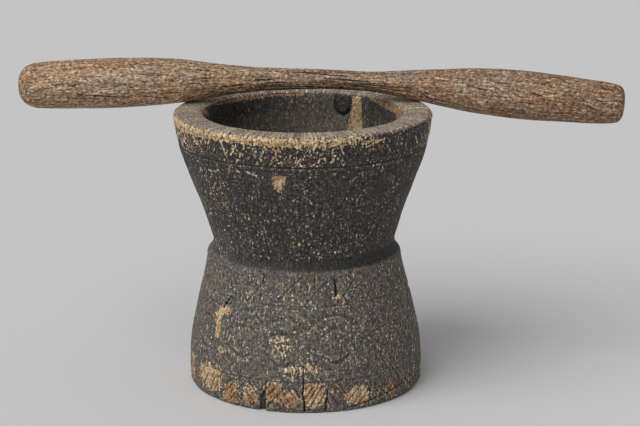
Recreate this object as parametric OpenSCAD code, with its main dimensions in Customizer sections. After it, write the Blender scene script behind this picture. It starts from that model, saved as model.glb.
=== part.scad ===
// Standing wooden mortar for pounding and grinding grain, cut from one log,
// with its double-ended pestle lying across the rim.
// Millimetres, +Z up. The origin is on the floor, on the mortar's axis.
// +X runs along the pestle to the right, and -Y is the front.

/* [Mortar base] */
// Greatest radius of the foot
foot_r = 191; // [184:1:198]
// Height of the worn shoulder where the base ends and the neck begins
shoulder_z = 221; // [210:1:228]
// Radius of the base at that shoulder
shoulder_r = 156; // [152:1:162]
// Radius at the bottom of the neck
neck_r = 146; // [138:1:148]
// Height of the bottom of the neck
neck_z = 236; // [233:1:242]
// Height of the incised line over the foot band
foot_line_z = 52; // [40:1:60]
// Height of the incised line under the upper band of the base
base_line_z = 169; // [160:1:180]

/* [Mortar bowl] */
// Height of the whole mortar, floor to rim
mortar_h = 447; // [430:1:470]
// Outer radius just under the rim's worn edge
rim_r = 208; // [204:1:216]
// Radius of the mouth at the top of the rim
mouth_r = 157; // [150:1:162]
// Depth of the hollow below the rim
bowl_depth = 188; // [150:1:190]
// Radius of the worn outer edge of the rim
rim_edge = 7; // [3:1:9]
// Distance from the rim down to the first of the two incised lines
ring_drop = 50; // [40:1:60]
// Distance between those two lines
ring_gap = 6; // [5:0.5:9]

/* [Carved lines and cracks] */
// Width of an incised line
line_w = 2.4; // [1.5:0.1:3.5]
// Depth of an incised line
line_d = 1.6; // [0.8:0.1:2.5]
// Depth of the drying cracks in the foot
crack_d = 22; // [10:1:40]
// Width of those cracks at the surface
crack_w = 2; // [1:0.2:4]

/* [Pestle] */
// Whole length of the pestle
pestle_l = 985; // [900:5:1050]
// How far the pestle reaches out to the left of the mortar's axis
pestle_left = 463; // [440:1:490]
// Distance from the mortar's axis back to the pestle
pestle_back = 67; // [55:1:80]
// Scale of every radius of the pestle
pestle_fat = 1; // [0.9:0.01:1.05]
// Height of the lines of the bend over the rim
pestle_rise = 43; // [43:0.1:60]
// Place of the bend along the length, from the mortar's axis
bend_x = 40; // [0:5:80]
// Length over which the pestle bends
bend_soft = 92; // [40:1:140]
// Downward slope of the whole pestle towards the right
bend_lean = 0.035; // [0.02:0.0005:0.05]
// Slope that each half adds away from the bend
bend_drop = 0.0653; // [0.02:0.0005:0.08]

/* [Hidden] */
$fn = 96;

// Share of the way from the foot's radius to the shoulder's, against the
// share of the shoulder's height: upright at the foot, then leaning in.
base_curve = [[0, 0.05], [0.03, 0.02], [0.1, 0], [0.2, 0.01], [0.3, 0.06],
              [0.4, 0.15], [0.5, 0.28], [0.6, 0.43], [0.7, 0.59],
              [0.8, 0.75], [0.9, 0.89], [1, 1]];
// Share of the way from the neck's radius to the rim's, against the share
// of the height between them: a straight flare that turns upright at the rim.
bowl_curve = [[0, 0], [0.05, 0.04], [0.25, 0.25], [0.5, 0.56], [0.7, 0.8],
              [0.8, 0.885], [0.9, 0.955], [1, 1]];

base_top = shoulder_z - 3;
bowl_top = mortar_h - rim_edge;
function base_r(z) =
    foot_r - (foot_r - shoulder_r) * lookup(z / base_top, base_curve);
function bowl_r(z) =
    neck_r + (rim_r - neck_r) * lookup((z - neck_z) / (bowl_top - neck_z), bowl_curve);

// The hollow: a straight worn mouth over a rounded bottom.
bowl_bottom = mortar_h - bowl_depth;
mouth_bevel = 11;
wall_r = mouth_r - 5;
wall_z = mortar_h - 75;
function hollow_r(a) = (wall_r - 10) * pow(cos(a), 0.85);
function hollow_z(a) = wall_z - (wall_z - bowl_bottom) * sin(a);

module mortar_outside() {
    rotate_extrude()
        polygon(concat(
            [[0, 0]],
            [for (i = base_curve) [base_r(i[0] * base_top), i[0] * base_top]],
            [[shoulder_r - 1.5, shoulder_z],
             [neck_r + 4, (shoulder_z + neck_z) / 2],
             [neck_r + 0.5, neck_z - 3]],
            [for (i = bowl_curve)
                [bowl_r(neck_z + i[0] * (bowl_top - neck_z)),
                 neck_z + i[0] * (bowl_top - neck_z)]],
            [for (a = [30, 60, 90])
                [rim_r - rim_edge * (1 - cos(a)), bowl_top + rim_edge * sin(a)]],
            [[0, mortar_h]]));
}

module hollow() {
    rotate_extrude()
        polygon(concat(
            [[0, mortar_h + 5], [mouth_r, mortar_h + 5], [mouth_r, mortar_h],
             [wall_r, mortar_h - mouth_bevel]],
            [for (a = [0 : 9 : 81]) [hollow_r(a), hollow_z(a)]],
            [[0, bowl_bottom]]));
}

// A V-shaped line cut round the body at height z, where its radius is r.
module incised_ring(z, r) {
    rotate_extrude()
        polygon([[r - line_d, z],
                 [r + 2, z - line_w / 2 * (line_d + 2) / line_d],
                 [r + 2, z + line_w / 2 * (line_d + 2) / line_d]]);
}

// A wedge-shaped drying crack that rises from the floor. az is measured
// from the front, towards +X.
module foot_crack(az, h) {
    rotate([0, 0, az - 90])
        translate([foot_r - crack_d, 0, -1])
            linear_extrude(height = h + 1)
                polygon([[0, 0],
                         [crack_d + 4, -crack_w / 2 * (crack_d + 4) / crack_d],
                         [crack_d + 4, crack_w / 2 * (crack_d + 4) / crack_d]]);
}

module mortar() {
    color([0.30, 0.27, 0.24])
        difference() {
            mortar_outside();
            hollow();
            incised_ring(mortar_h - ring_drop, bowl_r(mortar_h - ring_drop));
            incised_ring(mortar_h - ring_drop - ring_gap,
                         bowl_r(mortar_h - ring_drop - ring_gap));
            incised_ring(base_line_z, base_r(base_line_z));
            incised_ring(foot_line_z, base_r(foot_line_z));
            for (c = [[-20, 44], [0, 78], [12, 44], [36, 46], [59, 48]])
                foot_crack(c[0], c[1]);
        }
}

// Radius of the pestle against the distance from its left end, for a
// length of 985: two heads, and a slim grip to the right of the middle.
pestle_curve = [[0, 15], [3, 22], [8, 28], [15, 32.5], [26, 36], [45, 37.5],
                [75, 38.7], [120, 40.2], [160, 40.6], [200, 39.2], [225, 38],
                [245, 37], [270, 35], [295, 31.5], [330, 26], [360, 22.2],
                [395, 18.9], [440, 17], [490, 16], [545, 15.8], [572, 16],
                [595, 18], [616, 21], [640, 24], [660, 26.4], [680, 29.2],
                [700, 31.5], [725, 34.6], [750, 36.7], [780, 38.6],
                [815, 40], [845, 39.8], [880, 38.4], [920, 36.4], [950, 34.6],
                [970, 32.4], [979, 30], [983, 26.5], [985, 22]];
ring_at = [for (i = pestle_curve) i[0] / 985];
sides = 24;

function pestle_r(t) = pestle_fat * lookup(t * 985, pestle_curve);
function arm(x) = sqrt((x - bend_x) * (x - bend_x) + bend_soft * bend_soft);
function axis_z(x) = mortar_h + pestle_rise - bend_lean * (x - bend_x) - bend_drop * arm(x);
function axis_tilt(x) = atan(-bend_lean - bend_drop * (x - bend_x) / arm(x));

// One ring of the pestle's skin, square to its axis. The section is a
// slightly flattened round, as hewn.
function pestle_ring(t) =
    let (x = t * pestle_l - pestle_left, z = axis_z(x), g = axis_tilt(x))
    [for (k = [0 : sides - 1])
        let (a = k * 360 / sides, r = pestle_r(t) * (1 + 0.012 * cos(3 * a + 40)))
        [x - r * sin(a) * sin(g), pestle_back + r * cos(a), z + r * sin(a) * cos(g)]];

module pestle() {
    n = len(ring_at);
    points = [for (t = ring_at) each pestle_ring(t)];
    color([0.55, 0.42, 0.30])
        polyhedron(
            points = points,
            faces = concat(
                [[for (k = [0 : sides - 1]) sides - 1 - k]],
                [for (i = [0 : n - 2], k = [0 : sides - 1])
                    [i * sides + k, i * sides + (k + 1) % sides,
                     (i + 1) * sides + (k + 1) % sides]],
                [for (i = [0 : n - 2], k = [0 : sides - 1])
                    [i * sides + k, (i + 1) * sides + (k + 1) % sides,
                     (i + 1) * sides + k]],
                [[for (k = [0 : sides - 1]) (n - 1) * sides + k]]));
}

mortar();
pestle();
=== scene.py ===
import math

import bmesh
import bpy
import numpy as np
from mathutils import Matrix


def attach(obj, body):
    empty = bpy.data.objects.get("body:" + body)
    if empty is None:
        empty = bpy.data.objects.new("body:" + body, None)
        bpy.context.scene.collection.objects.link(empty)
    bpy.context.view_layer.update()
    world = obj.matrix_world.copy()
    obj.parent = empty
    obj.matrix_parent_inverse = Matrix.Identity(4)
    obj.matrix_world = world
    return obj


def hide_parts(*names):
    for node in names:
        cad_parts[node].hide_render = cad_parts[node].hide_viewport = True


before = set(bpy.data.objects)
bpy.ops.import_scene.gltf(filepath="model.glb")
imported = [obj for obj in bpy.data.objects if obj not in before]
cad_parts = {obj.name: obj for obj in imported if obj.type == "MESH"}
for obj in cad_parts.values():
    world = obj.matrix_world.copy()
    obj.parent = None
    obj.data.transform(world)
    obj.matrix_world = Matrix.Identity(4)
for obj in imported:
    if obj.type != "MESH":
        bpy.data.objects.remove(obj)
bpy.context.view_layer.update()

F32 = np.float32

# ================================================================ camera
CAM_BACK, CAM_UP = 3.0594, 1.0874
CAM_PITCH, CAM_YAW = math.radians(14.865), 0.00853
CAM_F = 1947.8           # focal length in pixels of the 640-wide frame
cam_data = bpy.data.cameras.new("camera")
cam_data.sensor_width = 36.0
cam_data.lens = CAM_F / 640 * 36.0
cam_data.clip_end = 100
camera = bpy.data.objects.new("camera", cam_data)
camera.location = (0, -CAM_BACK, CAM_UP)
camera.rotation_euler = (math.pi / 2 - CAM_PITCH, 0, -CAM_YAW)
bpy.context.scene.collection.objects.link(camera)
bpy.context.scene.camera = camera
_cp, _sp, _cy, _sy = math.cos(CAM_PITCH), math.sin(CAM_PITCH), math.cos(CAM_YAW), math.sin(CAM_YAW)


def ray(px, py):
    """Start and direction of the line of sight through a pixel of the 640x426 frame."""
    dx, up = (px - 320) / CAM_F, -(py - 213) / CAM_F
    y, z = _cp + _sp * up, -_sp + _cp * up
    return np.array([0, -CAM_BACK, CAM_UP]), np.array([_cy * dx + _sy * y, -_sy * dx + _cy * y, z])


def project(p):
    """Pixel of the 640x426 frame where each point of p (n, 3), in mm, is seen."""
    q = np.asarray(p, float) / 1000 - np.array([0, -CAM_BACK, CAM_UP])
    x, y = _cy * q[:, 0] - _sy * q[:, 1], _sy * q[:, 0] + _cy * q[:, 1]
    f, u = _cp * y - _sp * q[:, 2], _sp * y + _cp * q[:, 2]
    return (320 + CAM_F * x / f).astype(F32), (213 - CAM_F * u / f).astype(F32)


# ================================================================ noise
rng = np.random.RandomState(11)
_perm = rng.permutation(256).astype(np.int32)
_perm = np.concatenate([_perm, _perm])
_grad = rng.normal(size=(256, 3))
_grad = (_grad / np.linalg.norm(_grad, axis=1)[:, None]).astype(F32)


def perlin(p):
    """Gradient noise at points p (n, 3), about -1 to 1."""
    p = np.asarray(p, F32)
    cell = np.floor(p)
    f = p - cell
    c = cell.astype(np.int32) & 255
    w = f * f * f * (f * (f * 6 - 15) + 10)
    out = np.zeros(len(p), F32)
    for dx in (0, 1):
        hx = _perm[(c[:, 0] + dx) & 255]
        wx = w[:, 0] if dx else 1 - w[:, 0]
        for dy in (0, 1):
            hy = _perm[(hx + c[:, 1] + dy) & 255]
            wy = wx * (w[:, 1] if dy else 1 - w[:, 1])
            for dz in (0, 1):
                g = _grad[_perm[(hy + c[:, 2] + dz) & 255]]
                d = g[:, 0] * (f[:, 0] - dx) + g[:, 1] * (f[:, 1] - dy) + g[:, 2] * (f[:, 2] - dz)
                out += d * wy * (w[:, 2] if dz else 1 - w[:, 2])
    return out * 1.6


def fbm(p, scale, octaves=3, gain=0.5, seed=0.0):
    """Sum of octaves of noise. scale is the size of the first's features, one number or one for each axis."""
    q = np.asarray(p, F32) / np.asarray(scale, F32) + F32(seed * 17.31 + 0.37)
    out, a, total = np.zeros(len(q), F32), 1.0, 0.0
    for k in range(octaves):
        out += F32(a) * perlin(q * F32(2.03 ** k) + F32(k * 5.7))
        total += a
        a *= gain
    return out / F32(total)


def smooth(x, a, b):
    t = np.clip((x - a) / (b - a), 0, 1)
    return t * t * (3 - 2 * t)


def between(x, a, b, soft):
    """1 between a and b, falling to 0 over soft outside them."""
    return smooth(x, a - soft, a) * (1 - smooth(x, b, b + soft))


# ================================================================ mesh helper
def make_mesh(name, points, corners, sizes, uv, attributes):
    """A mesh object from flat arrays. points are in metres."""
    me = bpy.data.meshes.new(name)
    me.vertices.add(len(points))
    me.vertices.foreach_set("co", np.ascontiguousarray(points, F32).ravel())
    me.loops.add(len(corners))
    me.loops.foreach_set("vertex_index", np.ascontiguousarray(corners, np.int32))
    me.polygons.add(len(sizes))
    starts = np.concatenate([[0], np.cumsum(sizes)[:-1]]).astype(np.int32)
    me.polygons.foreach_set("loop_start", starts)
    me.polygons.foreach_set("loop_total", np.ascontiguousarray(sizes, np.int32))
    me.polygons.foreach_set("use_smooth", np.ones(len(sizes), bool))
    me.update(calc_edges=True)
    layer = me.uv_layers.new(name="OFBake")
    layer.data.foreach_set("uv", np.ascontiguousarray(uv, F32).ravel())
    for key, values in attributes.items():
        values = np.ascontiguousarray(values, F32)
        kind = "FLOAT_VECTOR" if values.ndim == 2 else "FLOAT"
        a = me.attributes.new(key, kind, "POINT")
        a.data.foreach_set("vector" if values.ndim == 2 else "value", values.ravel())
    me.validate()
    ob = bpy.data.objects.new(name, me)
    bpy.context.scene.collection.objects.link(ob)
    return ob


def spline(points, per=6):
    """A smooth line through the points."""
    p = np.array(points, float)
    if len(p) < 3:
        return [tuple(v) for v in p]
    q = np.vstack([2 * p[0] - p[1], p, 2 * p[-1] - p[-2]])
    out = []
    for i in range(1, len(q) - 2):
        for t in np.arange(per) / per:
            a, b, c, d = q[i - 1], q[i], q[i + 1], q[i + 2]
            out.append(.5 * (2 * b + (c - a) * t + (2 * a - 5 * b + 4 * c - d) * t * t
                             + (3 * b - a - 3 * c + d) * t ** 3))
    out.append(p[-1])
    return [tuple(v) for v in out]


# ================================================================ mortar: profile
FOOT_R, SHOULDER_R, SHOULDER_Z = 191.0, 156.0, 221.0
NECK_R, NECK_Z, RIM_R, TOP_Z = 146.0, 236.0, 208.0, 447.0
BASE = np.array([[0, .05], [.03, .02], [.1, 0], [.2, .01], [.3, .06], [.4, .15], [.5, .28],
                 [.6, .43], [.7, .59], [.8, .75], [.9, .89], [1, 1]])
BOWL = np.array([[0, 0], [.05, .04], [.25, .25], [.5, .56], [.7, .8], [.8, .885], [.9, .955], [1, 1]])


def soft_interp(x, xp, fp, width):
    """Linear interpolation, averaged over a short width so that corners are round."""
    return sum(w * np.interp(x + k * width, xp, fp) for k, w in ((-1, .17), (-.5, .21), (0, .24), (.5, .21), (1, .17)))


def base_r(z):
    return FOOT_R - (FOOT_R - SHOULDER_R) * soft_interp(z / (SHOULDER_Z - 3), BASE[:, 0], BASE[:, 1], .04)


def bowl_r(z):
    return NECK_R + (RIM_R - NECK_R) * soft_interp((z - NECK_Z) / (TOP_Z - 7 - NECK_Z), BOWL[:, 0], BOWL[:, 1], .05)


def lean(z):
    """The trunk isn't quite plumb: how far its axis is to the right at height z."""
    return 2.8 - 4.4 * z / TOP_Z


def polyline(points, step):
    p = np.array(points, float)
    s = np.r_[0, np.cumsum(np.hypot(*np.diff(p, axis=0).T))]
    n = max(2, int(round(s[-1] / step)) + 1)
    u = np.linspace(0, s[-1], n)
    return np.c_[np.interp(u, s, p[:, 0]), np.interp(u, s, p[:, 1])]


NC = 1024
wall = [[base_r(z), z] for z in np.linspace(5, 211, 60)]
bowl = [[bowl_r(z), z] for z in np.linspace(246, 437, 60)]
shoulder = [[157.6, 214.0], [156.2, 217.0], [154.4, 219.4], [152.2, 221.6], [150.2, 224.0], [148.7, 227.0],
            [147.6, 230.5], [147.0, 234.0], [146.9, 237.5], [147.4, 241.5]]
rim = [[207.9, 439.5], [207.2, 441.8], [205.8, 443.9], [203.6, 445.6], [200.4, 446.7], [195, 447.2], [186, 447.3],
       [175, 447.1], [167, 446.2], [161.8, 444.2], [158.2, 440.8], [155.5, 436.6], [153.4, 431.0]]
cavity = [[152.0, 424], [150.5, 410], [148.0, 394], [144.8, 378], [141.5, 362], [137.5, 345], [131.5, 327.5],
          [123.5, 312], [113.0, 298.5], [100.0, 286.5], [85.0, 276.5], [68.0, 268.6], [60.0, 265.8]]
outer_line = polyline([[185.5, 0.6], [188.0, 1.5], [189.2, 3.4]] + wall + shoulder + bowl + rim, 1.2)
inner_line = polyline([rim[-1]] + cavity, 1.9)[1:]
OUT_ROWS = len(outer_line)

rings = [(0.0, 3.0, 1)]            # (r, z, columns), from the middle of the underside to the middle of the bowl
rings += [(6, 3, 32), (12, 3, 64), (20, 3, 64), (29, 3, 128), (40, 3, 128), (52, 3, 128), (64, 3, 256), (78, 3, 256),
          (92, 2.9, 256), (106, 2.8, 512), (120, 2.7, 512), (133, 2.6, 512), (144, 2.4, 512), (154, 2.1, 512),
          (163, 1.8, NC), (170, 1.5, NC), (176, 1.1, NC), (181, 0.8, NC)]
UNDER = len(rings)
rings += [(r, z, NC) for r, z in outer_line]
INNER = len(rings)
rings += [(r, z, 512) for r, z in inner_line]
PIT = len(rings)
rings += [(55, 264.4, 512), (50, 263.2, 256), (44, 262.1, 256), (38, 261.3, 256), (31, 260.6, 256), (24, 260.1, 128),
          (17, 259.8, 128), (11, 259.6, 64), (5, 259.5, 32), (0.0, 259.5, 1)]

ring_rz = np.array([[r, z] for r, z, n in rings])
ring_n = np.array([n for r, z, n in rings])
ring_start = np.r_[0, np.cumsum(ring_n)]
ring_s = np.r_[0, np.cumsum(np.hypot(*np.diff(ring_rz, axis=0).T))]
tangent = np.gradient(ring_rz, ring_s, axis=0)
tangent /= np.linalg.norm(tangent, axis=1)[:, None]
ring_normal = np.c_[tangent[:, 1], -tangent[:, 0]]

NV = ring_start[-1]
ring_of = np.repeat(np.arange(len(rings)), ring_n)
PHI = np.concatenate([(np.arange(n) / n) * 2 * np.pi - np.pi for n in ring_n])      # 0 is the front
DEG = np.degrees(PHI).astype(F32)
R0, Z0 = ring_rz[ring_of, 0], ring_rz[ring_of, 1]
S0 = ring_s[ring_of]
NR_, NZ_ = ring_normal[ring_of, 0], ring_normal[ring_of, 1]
P0 = np.c_[R0 * np.sin(PHI), -R0 * np.cos(PHI), Z0]

# the outer wall, from the foot's edge to the mouth, as a grid
GRID = slice(ring_start[UNDER], ring_start[INNER])
row_s = ring_s[UNDER:INNER]
row_r = ring_rz[UNDER:INNER, 0]
row_z = ring_rz[UNDER:INNER, 1]
TOP_ROW = int(np.argmax(row_z))
CREST = row_s[TOP_ROW]


def s_of_z(z):
    return np.interp(z, row_z[:TOP_ROW + 1], row_s[:TOP_ROW + 1])


def on_wall(px, py):
    """Angle in degrees and height in mm of the outer wall's point seen at a pixel."""
    start, way = ray(px, py)
    t = np.linspace(2.6, 3.4, 4001)
    p = (start + t[:, None] * way) * 1000
    r = np.hypot(p[:, 0] - lean(p[:, 2]), p[:, 1])
    inside = (r < np.interp(p[:, 2], row_z[:TOP_ROW + 1], row_r[:TOP_ROW + 1])) & (p[:, 2] > 0) & (p[:, 2] < TOP_Z)
    q = p[np.argmax(inside)]
    return math.degrees(math.atan2(q[0] - lean(q[2]), -q[1])), q[2]


def seen(*pixels):
    return [on_wall(x, y) for x, y in pixels]


# ================================================================ mortar: carving on the outer wall
shape = (OUT_ROWS, NC)
cut = np.zeros(shape, F32)         # depth in mm of carved lines and chips
cut_dirt_and_shade = np.zeros(shape, F32)         # 0 to 1, dirt and painted shade in them
crack = np.zeros(shape, F32)       # depth in mm of drying cracks
ridge = np.zeros(shape, F32)       # 0 to 1, raised strokes worn to bare wood
fleck = np.zeros(shape, F32)       # 0 to 1, spots where the black skin has come off


def stroke(target, points, left, right, depth, taper=0.0, kind="v", dirt_and_shade=0.0, swell=False):
    """Cuts a line through points, each (degrees, height in mm), into target. left and right are its reach in mm
    on either side as one goes along it. swell makes it widest in the middle, as a crescent."""
    pts = np.array([[math.radians(a), s_of_z(z)] for a, z in points])
    r_at = np.interp(pts[:, 1], row_s, row_r)
    lengths = np.hypot(np.diff(pts[:, 0]) * (r_at[1:] + r_at[:-1]) / 2, np.diff(pts[:, 1]))
    total, done, reach = max(lengths.sum(), 1e-6), 0.0, max(left, right)
    for (a0, s0), (a1, s1), length in zip(pts[:-1], pts[1:], lengths):
        if length < 1e-6:
            continue
        i0, i1 = np.searchsorted(row_s, [min(s0, s1) - reach, max(s0, s1) + reach])
        if i1 <= i0:
            done += length
            continue
        rm = row_r[i0:i1].mean()
        pad = reach / row_r[i0:i1].min()
        j0 = int(math.floor((min(a0, a1) - pad + math.pi) / (2 * math.pi) * NC))
        j1 = int(math.ceil((max(a0, a1) + pad + math.pi) / (2 * math.pi) * NC)) + 1
        cols = np.arange(j0, j1)
        x = (cols / NC * 2 * math.pi - math.pi - a0)[None, :] * row_r[i0:i1, None]
        y = np.broadcast_to((row_s[i0:i1] - s0)[:, None], x.shape)
        dx, dy = (a1 - a0) * rm, s1 - s0
        ll = math.hypot(dx, dy)
        t = np.clip((x * dx + y * dy) / (ll * ll), 0, 1)
        ex, ey = x - t * dx, y - t * dy
        dist = np.hypot(ex, ey)
        along = (done + t * length) / total
        size = np.ones_like(along)
        if swell:
            size = np.sin(np.pi * np.clip(along, .02, .98)) ** .7
        half = np.where(dx * ey - dy * ex > 0, left, right) * size
        q = np.clip(1 - dist / np.maximum(half, .05), 0, 1)
        if kind == "u":
            q = np.sqrt(q * (2 - q))
        elif kind == "soft":
            q = q * q * (3 - 2 * q)
        if taper:
            q = q * np.clip(np.minimum(along, 1 - along) * total / taper, 0, 1) ** .6
        if swell:
            q = q * size ** .6
        cc = cols % NC
        target[i0:i1, cc] = np.maximum(target[i0:i1][:, cc], depth * q)
        # darken the cut: dirt, and painted shade in its hollow
        if dirt_and_shade:
            cut_dirt_and_shade[i0:i1, cc] = np.maximum(cut_dirt_and_shade[i0:i1][:, cc], dirt_and_shade * q)
        done += length


def wobble(points, amount, seed):
    r = np.random.RandomState(seed)
    return [(a + r.normal() * amount / 3.2, z + r.normal() * amount) for a, z in points]


def line(points, width=2.6, depth=1.5, taper=5, dirt_and_shade=.7, kind="v"):
    stroke(cut, points, width / 2, width / 2, depth, taper, kind, dirt_and_shade)


def chip(points, slope, depth=2.4, wall_w=1.7, dirt_and_shade=.55, taper=5, swell=True):
    """A slanting cut: a wide slope on the left-hand side of the line, a steep wall on its right."""
    stroke(cut, spline(points, 4), slope, wall_w, depth, taper, "v", dirt_and_shade, swell)


def shifted(points, by, jitter=0.0, seed=0):
    r = np.random.RandomState(seed)
    return [(a + by + r.normal() * jitter / 3.2, z + r.normal() * jitter) for a, z in points]


def ring_line(z, width, depth, wander, seed, dirt_and_shade=.7, broken=0.0):
    a = np.arange(-180, 181, 3.0)
    r = np.random.RandomState(seed)
    ph = r.uniform(0, 6.28, 4)
    t = np.radians(a)
    zz = z + wander * (np.sin(t * 2 + ph[0]) * .5 + np.sin(t * 5 + ph[1]) * .3 + np.sin(t * 11 + ph[2]) * .2)
    for i in range(len(a) - 1):
        k = 1 - broken * max(0, math.sin(t[i] * 3 + ph[3]) + .4 * math.sin(t[i] * 13))
        if k > .15:
            stroke(cut, [(a[i], zz[i]), (a[i + 1], zz[i + 1])], width / 2, width / 2, depth * k, 0, "v", dirt_and_shade * k)
    return lambda q: np.interp((np.asarray(q) + 180) % 360 - 180, a, zz)


r_ = np.random.RandomState(21)

# the two lines under the rim band, the line under the base's upper band, the line over its foot band
ring_line(397.5, 3.8, 2.2, .8, 1, .9)
ring_line(390.0, 2.4, 1.1, 1.0, 2, .5, .5)
upper_line = ring_line(168.5, 2.5, 1.6, 1.4, 3, .8, .45)
foot_line = ring_line(51.5, 2.5, 1.6, 1.2, 4, .8, .2)

# ---- foot band: each field is crossed by a slanting line, hatched along it on one side and across it on the other
hatch = [((200.6, 374), (205.2, 366.5)), ((204, 383), (209.5, 371)), ((210, 386), (216.5, 374.5)),
         ((213.5, 390.5), (217.8, 383)), ((218.2, 378.7), (223.2, 371.8)), ((221.7, 381.8), (227.8, 373)),
         ((225.1, 384.8), (233.9, 376.8)), ((226.3, 390.2), (233.5, 382.5), (240.8, 377.2)),
         ((219, 395), (225.5, 387)), ((229.7, 400.2), (237, 390.2), (247.7, 378)),
         ((249.2, 380.3), (258.4, 396.3)), ((243.6, 387.9), (256.9, 405.8)), ((237.7, 394.8), (247.6, 404.9)),
         ((253, 380.6), (259.4, 391.8)), ((238.5, 400), (243, 404.5)),
         ((259.2, 391.7), (265.3, 381.8)), ((258.4, 397.9), (263.8, 390.2)),
         ((265.3, 391.7), (271, 381.8)), ((267.6, 397.1), (279.1, 383.3)), ((266.1, 407.8), (278, 395), (289.8, 382.6)),
         ((282.1, 394), (295.1, 408.6)), ((286.7, 387.1), (298.2, 402.4)), ((292.1, 385.6), (301.3, 399.4)),
         ((279.1, 397.9), (286.7, 410.1)), ((276, 402), (281.6, 411)), ((296.8, 389), (302, 384)),
         ((304.7, 392.4), (309.5, 384.5)), ((303.2, 401.9), (314.2, 386.1)), ((305.5, 406), (318.5, 385.6)),
         ((308.7, 409.5), (322.9, 385.3)), ((315, 411), (326.3, 390.3)), ((320.8, 410.2), (327, 399.6)),
         ((330.1, 383.8), (342.7, 399.6)), ((337.2, 382.5), (346.3, 395)), ((329.3, 392.6), (340, 406.3)),
         ((327.8, 400), (333.5, 409)), ((333.5, 384), (345, 398.5)), ((342.7, 400.4), (349.6, 407.8)),
         ((344.5, 389), (348.8, 382.5)), ((346.5, 394.4), (357.7, 381)), ((348.6, 400.9), (364.1, 380.2)),
         ((353.6, 403.5), (368.8, 382)), ((357.7, 404.5), (370.4, 388.1)), ((363, 400), (368, 405)),
         ((374.3, 386.7), (383.2, 397.2)), ((373.5, 380.6), (385.8, 393.4)), ((372, 394), (378, 401)),
         ((379, 378), (387, 387)), ((383, 392.4), (387.8, 381.2)), ((386.5, 396.6), (394.1, 378)),
         ((390.2, 397.2), (398, 379)), ((394.5, 395.5), (401, 380)), ((403.6, 384.5), (410.7, 391.4)),
         ((403.4, 377), (411.5, 385)), ((405, 371), (414, 379)), ((414, 384), (417, 372)), ((417.5, 378), (420, 366))]
for n, p in enumerate(hatch):
    line(wobble(seen(*p), .35, 1000 + n), r_.uniform(2.3, 3.0), r_.uniform(1.5, 2.1), 5, .85)
a = 61.0
k = 0
while a < 268:
    w = r_.uniform(16, 21)
    x = (a + 180) % 360 - 180
    lo, hi = 1.5, float(foot_line(x)) - 1.5
    if k % 3 < 2:
        line([(x + .5, lo), (x + w * .5, (lo + hi) / 2), (x + w - .5, hi)], 2.8, 2.0, 5, .85)
        for f in np.arange(.16, .95, .155):        # along it, above
            line(wobble([(x + .4, lo + (hi - lo) * f), (x + w * (1 - f) - .4, hi)], .4, 2000 + k * 20 + int(f * 20)),
                 r_.uniform(2.2, 2.9), r_.uniform(1.3, 1.9), 4, .8)
        for f in np.arange(.2, 1.12, .155):        # across it, below
            f = min(f, .97)
            z0 = lo + (hi - lo) * f
            run = min(w * (1 - f) - .4, w * .75 * f)
            if run > 1.2:
                line(wobble([(x + w * f, z0), (x + w * f + run, z0 - (hi - lo) * run / (w * .75))], .4,
                            2500 + k * 20 + int(f * 20)), r_.uniform(2.2, 2.9), r_.uniform(1.3, 1.9), 4, .8)
    else:
        for q in np.arange(-w * .45, w * .8, 2.3):
            p0, p1 = max(x + q, x + .3), min(x + q + 9.5, x + w - .3)
            z0 = lo + (hi - lo) * (p0 - x - q) / 9.5
            z1 = lo + (hi - lo) * (p1 - x - q) / 9.5
            if p1 - p0 > 1.5:
                line(wobble([(p0, z0), (p1, z1)], .4, 3000 + k * 20 + int(q + 20)), r_.uniform(2.2, 2.9),
                     r_.uniform(1.3, 1.9), 4, .8)
    a += w
    k += 1

# ---- rim band: slanting ridges worn to bare wood over a blackened ground
for n, (p, w_) in enumerate((
        (((206.8, 145.7), (209.5, 139), (213.6, 132.3)), 4.6), (((218, 135.9), (222, 146), (226, 156.4)), 3.6),
        (((221.4, 143), (224.5, 151), (227.5, 157)), 2.6), (((236.8, 143.9), (233.5, 150), (230.5, 155.5)), 4.2),
        (((230.5, 138), (227.8, 144)), 2.6), (((241.3, 152.9), (238.6, 158.2)), 3.4),
        (((255.6, 133.2), (250.5, 139), (246.5, 144.8)), 8.0), (((248, 134), (245, 138.5)), 4.0),
        (((274.3, 143.7), (274.8, 150), (276.5, 156.4)), 3.2), (((277.5, 146), (279.3, 153)), 2.0),
        (((295.7, 145.7), (302.9, 151)), 3.6), (((304, 143), (299.5, 149)), 2.4), (((309, 148), (304.5, 155)), 2.2),
        (((291.5, 155), (288, 161)), 2.6), (((301, 158), (296.8, 164.5)), 3.0), (((318, 143), (311.8, 151.5)), 4.0),
        (((322, 141.5), (319, 147)), 2.4), (((340.4, 145.7), (343.9, 154.6)), 2.8), (((334, 147), (331.4, 154)), 2.4),
        (((333.8, 158), (331.5, 164)), 3.4), (((326, 141), (322.5, 148)), 2.2), (((345, 162), (343, 167)), 2.4),
        (((365.4, 147.5), (377, 142), (388.6, 136.8)), 3.4), (((368, 143), (376, 138.5)), 2.2),
        (((366.5, 154), (369, 162)), 2.8), (((196, 139), (199.5, 147), (203, 153)), 2.4),
        (((186, 131), (189, 141)), 2.8), (((192, 134), (194.5, 143)), 2.6), (((181, 124), (183, 134)), 2.6),
        (((199, 132), (197, 138)), 2.8), (((214.5, 148), (212.5, 155)), 2.2), (((262, 137), (258, 144)), 2.6),
        (((266, 147), (263, 154)), 2.2), (((256, 150), (253, 157)), 2.2), (((285, 139), (282.5, 145)), 2.0))):
    stroke(ridge, wobble(spline(seen(*p), 3), .3, 1200 + n), w_ / 2, w_ / 2, r_.uniform(.75, 1.0), 5, "soft")
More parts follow.
